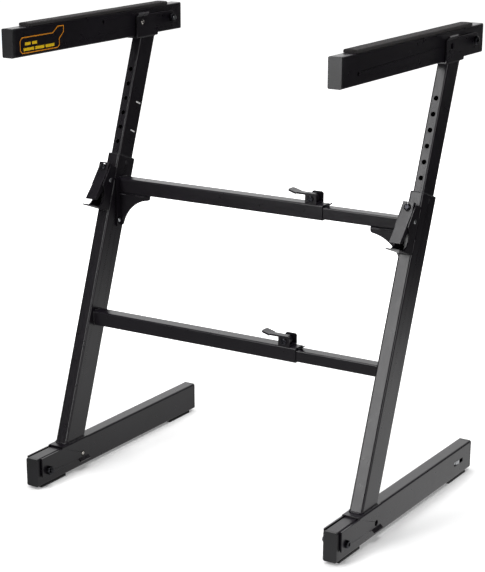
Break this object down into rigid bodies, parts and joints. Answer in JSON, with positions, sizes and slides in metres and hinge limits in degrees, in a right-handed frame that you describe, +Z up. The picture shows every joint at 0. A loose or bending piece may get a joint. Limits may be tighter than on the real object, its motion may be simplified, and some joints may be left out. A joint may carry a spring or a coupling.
{
  "type": "folding keyboard stand",
  "caption": "Z-shaped folding stand for a stage keyboard: telescoping posts and crossbars join two side frames with padded arms and long fold-away feet.",
  "frame": {"origin": "middle of the box around the whole stand, on the floor", "axes": "+X from the left frame to the right one, -Y towards the player, +Z up"},
  "size_m": [0.6224, 0.501, 0.7785],
  "materials": {
    "black_powder_coat": "satin black powder coat",
    "black_plastic": "matte",
    "grey_plastic": "matte dark grey",
    "foam": "matte closed-cell foam",
    "rubber": "matte black",
    "bright_nickel": "bright nickel plate",
    "zinc_plate": "zinc plate",
    "black_oxide_steel": "black oxide"
  },
  "bodies": {
    "left_frame": {"left_leg_tube": "black_powder_coat", "left_leg_bushing": "black_plastic", "left_lever_housing": "black_powder_coat", "left_lever_pin": "zinc_plate", "left_foot_channel": "black_powder_coat", "left_gusset": "black_powder_coat", "left_foot_bolt": "black_oxide_steel", "left_foot_nut": "black_oxide_steel", "left_foot_washers": "black_oxide_steel", "upper_crossbar_sleeve": "black_powder_coat", "lower_crossbar_sleeve": "black_powder_coat", "clamp_brackets": "black_powder_coat", "clamp_bolts": "black_oxide_steel", "clamp_nuts": "black_oxide_steel", "clamp_shoes": "black_oxide_steel"},
    "right_frame": {"right_leg_tube": "black_powder_coat", "right_leg_bushing": "black_plastic", "right_lever_housing": "black_powder_coat", "right_lever_pin": "zinc_plate", "right_foot_channel": "black_powder_coat", "right_gusset": "black_powder_coat", "right_foot_bolt": "black_oxide_steel", "right_foot_nut": "black_oxide_steel", "right_foot_washers": "black_oxide_steel", "upper_crossbar_slider": "black_powder_coat", "lower_crossbar_slider": "black_powder_coat"},
    "left_post": {"left_post": "black_powder_coat", "left_arm_channel": "black_powder_coat", "left_arm_bolt": "zinc_plate", "left_arm_nut": "black_oxide_steel", "left_arm_washers": "black_oxide_steel"},
    "left_arm": {"left_arm_tube": "black_powder_coat", "left_arm_caps": "grey_plastic", "left_arm_pad": "foam"},
    "left_foot": {"left_foot_tube": "black_powder_coat", "left_foot_caps": "grey_plastic", "left_foot_pads": "rubber"},
    "left_arm_snap": {"left_arm_snap": "bright_nickel"},
    "left_foot_snap": {"left_foot_snap": "bright_nickel"},
    "left_height_lever": {"left_height_lever": "black_powder_coat"},
    "left_lock_pin": {"left_lock_pin": "black_oxide_steel"},
    "right_post": {"right_post": "black_powder_coat", "right_arm_channel": "black_powder_coat", "right_arm_bolt": "black_oxide_steel", "right_arm_nut": "black_oxide_steel", "right_arm_washers": "black_oxide_steel"},
    "right_arm": {"right_arm_tube": "black_powder_coat", "right_arm_caps": "grey_plastic", "right_arm_pad": "foam"},
    "right_foot": {"right_foot_tube": "black_powder_coat", "right_foot_caps": "grey_plastic", "right_near_pad": "rubber"},
    "right_arm_snap": {"right_arm_snap": "bright_nickel"},
    "right_foot_snap": {"right_foot_snap": "bright_nickel"},
    "right_height_lever": {"right_height_lever": "black_powder_coat"},
    "right_lock_pin": {"right_lock_pin": "black_oxide_steel"},
    "upper_clamp_lever": {"upper_clamp_lever": "black_powder_coat"},
    "lower_clamp_lever": {"lower_clamp_lever": "black_powder_coat"},
    "levelling_wheel": {"levelling_wheel": "zinc_plate"},
    "levelling_foot": {"levelling_foot": "rubber"}
  },
  "joints": [
    {"name": "width_slide", "type": "slide", "parent": "left_frame", "child": "right_frame", "axis": [1, 0, 0], "range_m": [-0.08, 0.14]},
    {"name": "left_post_slide", "type": "slide", "parent": "left_frame", "child": "left_post", "axis": [0, 0.342, 0.9397], "range_m": [-0.15, 0.15]},
    {"name": "left_arm_fold", "type": "hinge", "parent": "left_post", "child": "left_arm", "pos_m": [-0.29, 0.1791, 0.7505], "axis": [1, 0, 0], "range_deg": [-280, 0]},
    {"name": "left_foot_fold", "type": "hinge", "parent": "left_frame", "child": "left_foot", "pos_m": [-0.29, -0.209, 0.029], "axis": [1, 0, 0], "range_deg": [-282, 0]},
    {"name": "left_arm_snap_press", "type": "slide", "parent": "left_arm", "child": "left_arm_snap", "axis": [-1, 0, 0], "range_m": [0, 0.0055], "stiffness_N_per_m": 1500, "springref_m": -0.004},
    {"name": "left_foot_snap_press", "type": "slide", "parent": "left_foot", "child": "left_foot_snap", "axis": [-1, 0, 0], "range_m": [0, 0.0055], "stiffness_N_per_m": 1500, "springref_m": -0.004},
    {"name": "left_height_lever_press", "type": "hinge", "parent": "left_frame", "child": "left_height_lever", "pos_m": [-0.29, -0.00666, 0.49476], "axis": [1, 0, 0], "range_deg": [0, 14.3], "stiffness_Nm_per_rad": 0.3, "springref_deg": -17.19},
    {"name": "left_lock_pin_draw", "type": "slide", "parent": "left_frame", "child": "left_lock_pin", "axis": [0, -0.9397, 0.342], "range_m": [0, 0.0065]},
    {"name": "right_post_slide", "type": "slide", "parent": "right_frame", "child": "right_post", "axis": [0, 0.342, 0.9397], "range_m": [-0.15, 0.15]},
    {"name": "right_arm_fold", "type": "hinge", "parent": "right_post", "child": "right_arm", "pos_m": [0.29, 0.1791, 0.7505], "axis": [1, 0, 0], "range_deg": [-280, 0]},
    {"name": "right_foot_fold", "type": "hinge", "parent": "right_frame", "child": "right_foot", "pos_m": [0.29, -0.209, 0.029], "axis": [1, 0, 0], "range_deg": [-282, 0]},
    {"name": "right_arm_snap_press", "type": "slide", "parent": "right_arm", "child": "right_arm_snap", "axis": [1, 0, 0], "range_m": [0, 0.0055], "stiffness_N_per_m": 1500, "springref_m": -0.004},
    {"name": "right_foot_snap_press", "type": "slide", "parent": "right_foot", "child": "right_foot_snap", "axis": [1, 0, 0], "range_m": [0, 0.0055], "stiffness_N_per_m": 1500, "springref_m": -0.004},
    {"name": "right_height_lever_press", "type": "hinge", "parent": "right_frame", "child": "right_height_lever", "pos_m": [0.29, -0.00666, 0.49476], "axis": [1, 0, 0], "range_deg": [0, 14.3], "stiffness_Nm_per_rad": 0.3, "springref_deg": -17.19},
    {"name": "right_lock_pin_draw", "type": "slide", "parent": "right_frame", "child": "right_lock_pin", "axis": [0, -0.9397, 0.342], "range_m": [0, 0.0065]},
    {"name": "upper_clamp_turn", "type": "hinge", "parent": "left_frame", "child": "upper_clamp_lever", "pos_m": [0.104, 0.02828, 0.5028], "axis": [0, 1, 0], "range_deg": [0, 110]},
    {"name": "lower_clamp_turn", "type": "hinge", "parent": "left_frame", "child": "lower_clamp_lever", "pos_m": [0.104, -0.05143, 0.2838], "axis": [0, 1, 0], "range_deg": [0, 110]},
    {"name": "levelling_wheel_turn", "type": "hinge", "parent": "right_foot", "child": "levelling_wheel", "pos_m": [0.29, 0.201, 0.0292], "axis": [0, 0, -1], "range_deg": [0, 1441]},
    {"name": "levelling_foot_drop", "type": "slide", "parent": "right_foot", "child": "levelling_foot", "axis": [0, 0, -1], "range_m": [0, 0.005]}
  ],
  "couplings": [
    {"joint": "left_height_lever_press", "follows": "left_lock_pin_draw", "rad_per_m": 37.592},
    {"joint": "right_height_lever_press", "follows": "right_lock_pin_draw", "rad_per_m": 37.592},
    {"joint": "levelling_wheel_turn", "follows": "levelling_foot_drop", "rad_per_m": 5026.6}
  ]
}
